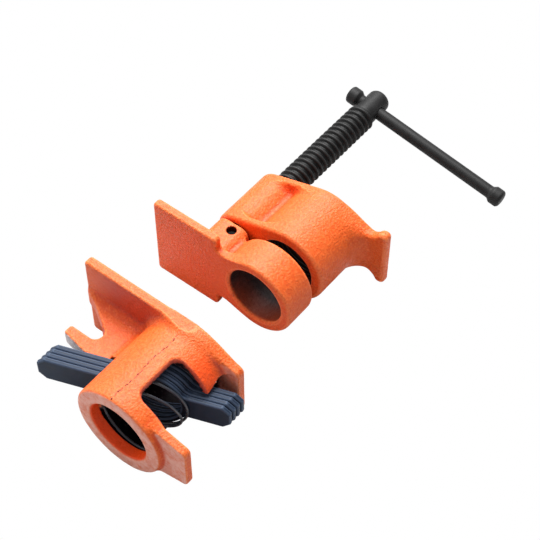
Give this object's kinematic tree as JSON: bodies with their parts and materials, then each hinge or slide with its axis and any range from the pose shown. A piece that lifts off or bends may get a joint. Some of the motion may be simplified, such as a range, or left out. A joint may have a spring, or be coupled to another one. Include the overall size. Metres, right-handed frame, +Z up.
{
  "type": "pipe clamp",
  "caption": "Woodworking pipe clamp: screw head with sliding jaw and sliding T-handle, and a clutch-plate tail stop, for a threaded pipe that the user adds.",
  "frame": {"origin": "on the pipe's axis, at the mouth of the pipe thread in the head casting", "axes": "+X along the pipe from the tail stop to the handle, +Y towards the jaw faces, +Z up as the clamp lies on its side"},
  "size_m": [0.2146, 0.1027, 0.045],
  "materials": {
    "cast_orange": "gloss enamel over rough castings",
    "black_steel": "black oxide, oiled",
    "blued_steel": "blue-black hardened plate"
  },
  "bodies": {
    "head": {"head_casting": "cast_orange"},
    "jaw": {"movable_jaw": "cast_orange", "retaining_pin": "black_steel"},
    "screw": {"clamp_screw": "black_steel"},
    "handle": {"sliding_handle": "black_steel"},
    "tail": {"tail_casting": "cast_orange", "clutch_spring": "black_steel"},
    "plate_1": {"clutch_plate_1": "blued_steel"},
    "plate_2": {"clutch_plate_2": "blued_steel"},
    "plate_3": {"clutch_plate_3": "blued_steel"},
    "plate_4": {"clutch_plate_4": "blued_steel"}
  },
  "joints": [
    {"name": "jaw_travel", "type": "slide", "parent": "head", "child": "jaw", "axis": [-1, 0, 0], "range_m": [0, 0.037]},
    {"name": "screw_turn", "type": "hinge", "parent": "jaw", "child": "screw", "pos_m": [0.04, 0.027, 0], "axis": [-1, 0, 0], "range_deg": [0, 4196.4]},
    {"name": "handle_slide", "type": "slide", "parent": "screw", "child": "handle", "axis": [0, 0.9848, 0.1736], "range_m": [0, 0.0615]},
    {"name": "tail_travel", "type": "slide", "parent": "head", "child": "tail", "axis": [-1, 0, 0], "range_m": [0, 0.6]},
    {"name": "plate_1_release", "type": "hinge", "parent": "tail", "child": "plate_1", "pos_m": [-0.09639, 0.032, 0], "axis": [0, 0, -1], "range_deg": [0, 17.5], "stiffness_Nm_per_rad": 1.2, "springref_deg": -14.32, "deforming": ["clutch_spring"]},
    {"name": "plate_2_release", "type": "hinge", "parent": "tail", "child": "plate_2", "pos_m": [-0.09386, 0.032, 0], "axis": [0, 0, -1], "range_deg": [0, 17.5]},
    {"name": "plate_3_release", "type": "hinge", "parent": "tail", "child": "plate_3", "pos_m": [-0.09133, 0.032, 0], "axis": [0, 0, -1], "range_deg": [0, 17.5]},
    {"name": "plate_4_release", "type": "hinge", "parent": "tail", "child": "plate_4", "pos_m": [-0.0888, 0.032, 0], "axis": [0, 0, -1], "range_deg": [0, 17.5]}
  ],
  "couplings": [
    {"joint": "screw_turn", "follows": "jaw_travel", "rad_per_m": 1979},
    {"joint": "plate_2_release", "follows": "plate_1_release", "ratio": 1},
    {"joint": "plate_3_release", "follows": "plate_1_release", "ratio": 1},
    {"joint": "plate_4_release", "follows": "plate_1_release", "ratio": 1}
  ]
}
